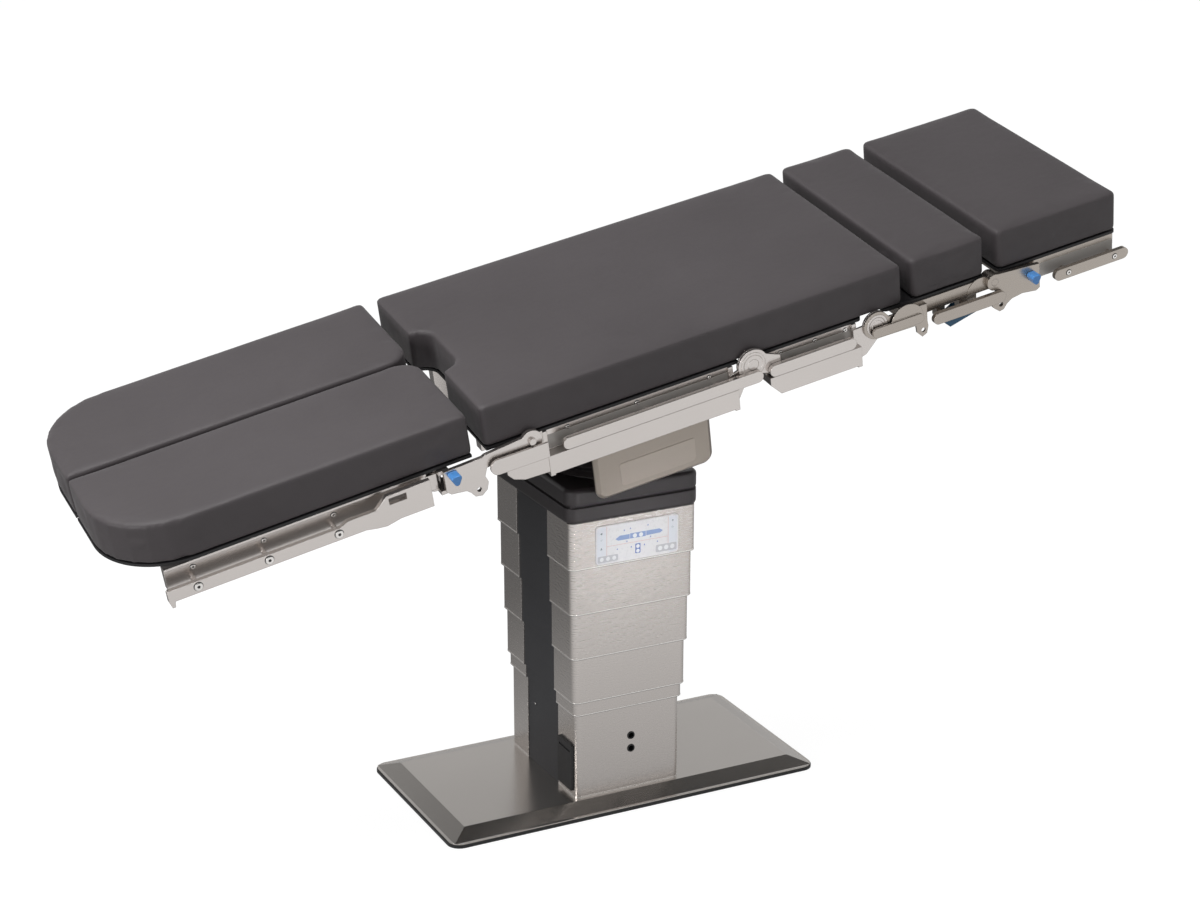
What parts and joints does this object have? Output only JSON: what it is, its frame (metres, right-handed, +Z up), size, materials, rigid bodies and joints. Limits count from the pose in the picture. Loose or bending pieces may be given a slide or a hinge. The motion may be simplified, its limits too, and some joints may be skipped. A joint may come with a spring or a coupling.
{
  "type": "operating table",
  "caption": "Surgical table on a telescopic column: padded sections for head, back, seat and legs that tilt, fold, slide and spread, with side rails.",
  "frame": {"origin": "on the floor, under the axis of the lifting column", "axes": "+Z up; +X towards the head end; -Y is the patient's left, the side of the control panel. The top is stored 11.5 degrees head up and tilted 10.1 degrees towards -Y."},
  "size_m": [2.1786, 0.6578, 1.3233],
  "materials": {
    "cushion": "satin coated cover over foam",
    "deck": "matt black laminate",
    "frame_steel": "satin",
    "cover_steel": "fine satin",
    "channel": "matt",
    "base_steel": "satin",
    "collar_rubber": "matt",
    "hood": "satin metallic paint",
    "mast": "anodised",
    "panel": "membrane keypad",
    "black_plastic": "fine grain",
    "knob_blue": "smooth",
    "lever_blue": "smooth"
  },
  "bodies": {
    "base": {"base_plate": "base_steel", "base_rim": "collar_rubber", "housing_shells": "cover_steel", "housing_channels": "channel", "mast_outer": "mast", "service_sockets": "black_plastic"},
    "inlet_flap": {"inlet_cover": "black_plastic"},
    "column_head": {"cover_1_shells": "cover_steel", "cover_1_channels": "channel", "mast_stage_3": "mast", "control_panel": "panel", "collar_plates": "collar_rubber", "trunnion_bracket": "frame_steel", "bellows": "collar_rubber"},
    "cover_2": {"cover_2_shells": "cover_steel", "cover_2_channels": "channel"},
    "cover_3": {"cover_3_shells": "cover_steel", "cover_3_channels": "channel"},
    "cover_4": {"cover_4_shells": "cover_steel", "cover_4_channels": "channel"},
    "cover_5": {"cover_5_shells": "cover_steel", "cover_5_channels": "channel"},
    "mast_1": {"mast_stage_1": "mast"},
    "mast_2": {"mast_stage_2": "mast"},
    "tilt_yoke": {"gimbal_cross": "frame_steel"},
    "carriage": {"tilt_carriage": "frame_steel", "drive_hoods": "hood"},
    "seat": {"seat_side_frames": "frame_steel", "seat_rails": "frame_steel", "seat_plate": "deck", "seat_cross_frame": "frame_steel", "main_cushion_seat": "cushion"},
    "back": {"back_side_frames": "frame_steel", "back_rails": "frame_steel", "back_plate": "deck", "main_cushion_back": "cushion", "main_cushion_bends": "cushion"},
    "upper_back": {"upper_arms": "frame_steel", "upper_rails": "frame_steel", "upper_plate": "deck", "upper_cushion": "cushion", "upper_cushion_flex": "cushion"},
    "release": {"release_lever": "lever_blue"},
    "head": {"head_brackets": "frame_steel", "head_rails": "frame_steel", "head_plate": "deck", "head_cushion": "cushion"},
    "head_clamp_left": {"head_knob_left": "knob_blue"},
    "leg_left_arm": {"leg_bracket_left": "frame_steel"},
    "leg_left_clamp": {"leg_knob_left": "knob_blue"},
    "leg_left": {"leg_rail_left": "frame_steel", "leg_plate_left": "deck", "leg_cushion_left": "cushion"},
    "head_clamp_right": {"head_knob_right": "knob_blue"},
    "leg_right_arm": {"leg_bracket_right": "frame_steel"},
    "leg_right_clamp": {"leg_knob_right": "knob_blue"},
    "leg_right": {"leg_rail_right": "frame_steel", "leg_plate_right": "deck", "leg_cushion_right": "cushion"}
  },
  "joints": [
    {"name": "column_lift", "type": "slide", "parent": "base", "child": "column_head", "axis": [0, 0, 1], "range_m": [-0.34, 0.05]},
    {"name": "cover_2_slide", "type": "slide", "parent": "base", "child": "cover_2", "axis": [0, 0, 1], "range_m": [-0.272, 0.04]},
    {"name": "cover_3_slide", "type": "slide", "parent": "base", "child": "cover_3", "axis": [0, 0, 1], "range_m": [-0.187, 0.0275]},
    {"name": "cover_4_slide", "type": "slide", "parent": "base", "child": "cover_4", "axis": [0, 0, 1], "range_m": [-0.102, 0.015]},
    {"name": "cover_5_slide", "type": "slide", "parent": "base", "child": "cover_5", "axis": [0, 0, 1], "range_m": [-0.051, 0.0075]},
    {"name": "mast_1_slide", "type": "slide", "parent": "base", "child": "mast_1", "axis": [0, 0, 1], "range_m": [-0.1224, 0.018]},
    {"name": "mast_2_slide", "type": "slide", "parent": "base", "child": "mast_2", "axis": [0, 0, 1], "range_m": [-0.2244, 0.033]},
    {"name": "inlet_flap_hinge", "type": "hinge", "parent": "base", "child": "inlet_flap", "pos_m": [-0.1241, -0.081, 0.088], "axis": [0, 0, -1], "range_deg": [0, 100]},
    {"name": "lateral_tilt", "type": "hinge", "parent": "column_head", "child": "tilt_yoke", "pos_m": [0, 0, 0.819], "axis": [1, 0, 0], "range_deg": [-25.13, 4.87], "deforming": ["bellows"]},
    {"name": "trendelenburg_tilt", "type": "hinge", "parent": "tilt_yoke", "child": "carriage", "pos_m": [0, 0, 0.819], "axis": [0, 0.9844, 0.1758], "range_deg": [-8.53, 36.47]},
    {"name": "top_slide", "type": "slide", "parent": "carriage", "child": "seat", "axis": [-0.98, 0.035, -0.1957], "range_m": [-0.15, 0.08]},
    {"name": "back_tilt", "type": "hinge", "parent": "seat", "child": "back", "pos_m": [0.19608, -0.03391, 1.00883], "axis": [0, -0.9844, -0.1758], "range_deg": [-40, 70], "deforming": ["main_cushion_bends"]},
    {"name": "upper_back_tilt", "type": "hinge", "parent": "back", "child": "upper_back", "pos_m": [0.47649, -0.0423, 1.05578], "axis": [0, -0.9844, -0.1758], "range_deg": [-30, 35]},
    {"name": "head_tilt", "type": "hinge", "parent": "upper_back", "child": "head", "pos_m": [0.75226, -0.05285, 1.11487], "axis": [0, -0.9844, -0.1758], "range_deg": [-60, 30], "deforming": ["upper_cushion_flex"]},
    {"name": "release_squeeze", "type": "hinge", "parent": "upper_back", "child": "release", "pos_m": [0.71356, -0.04501, 1.07098], "axis": [0, 0.9844, 0.1758], "range_deg": [0, 12], "stiffness_Nm_per_rad": 6, "springref_deg": -5.73},
    {"name": "leg_left_tilt", "type": "hinge", "parent": "seat", "child": "leg_left_arm", "pos_m": [-0.27837, -0.28775, 0.86883], "axis": [0, -0.9844, -0.1758], "range_deg": [-12, 85]},
    {"name": "leg_left_spread", "type": "hinge", "parent": "leg_left_arm", "child": "leg_left", "pos_m": [-0.46182, -0.24059, 0.81239], "axis": [-0.2196, -0.1716, 0.9604], "range_deg": [0, 35]},
    {"name": "leg_left_clamp_turn", "type": "hinge", "parent": "leg_left_arm", "child": "leg_left_clamp", "pos_m": [-0.43941, -0.29527, 0.81712], "axis": [0, -0.9844, -0.1758], "range_deg": [0, 90]},
    {"name": "head_clamp_left_turn", "type": "hinge", "parent": "head", "child": "head_clamp_left", "pos_m": [0.84031, -0.33798, 1.06757], "axis": [0, -0.9844, -0.1758], "range_deg": [0, 90]},
    {"name": "leg_right_tilt", "type": "hinge", "parent": "seat", "child": "leg_right_arm", "pos_m": [-0.27837, 0.2527, 0.96537], "axis": [0, -0.9844, -0.1758], "range_deg": [-12, 85]},
    {"name": "leg_right_spread", "type": "hinge", "parent": "leg_right_arm", "child": "leg_right", "pos_m": [-0.46182, 0.228, 0.89609], "axis": [0.2196, 0.1716, -0.9604], "range_deg": [0, 35]},
    {"name": "leg_right_clamp_turn", "type": "hinge", "parent": "leg_right_arm", "child": "leg_right_clamp", "pos_m": [-0.43941, 0.27766, 0.91946], "axis": [0, 0.9844, 0.1758], "range_deg": [0, 90]},
    {"name": "head_clamp_right_turn", "type": "hinge", "parent": "head", "child": "head_clamp_right", "pos_m": [0.84031, 0.23102, 1.16921], "axis": [0, 0.9844, 0.1758], "range_deg": [0, 90]}
  ],
  "couplings": [
    {"joint": "cover_2_slide", "follows": "column_lift", "ratio": 0.8},
    {"joint": "cover_3_slide", "follows": "column_lift", "ratio": 0.55},
    {"joint": "cover_4_slide", "follows": "column_lift", "ratio": 0.3},
    {"joint": "cover_5_slide", "follows": "column_lift", "ratio": 0.15},
    {"joint": "mast_1_slide", "follows": "column_lift", "ratio": 0.36},
    {"joint": "mast_2_slide", "follows": "column_lift", "ratio": 0.66}
  ]
}
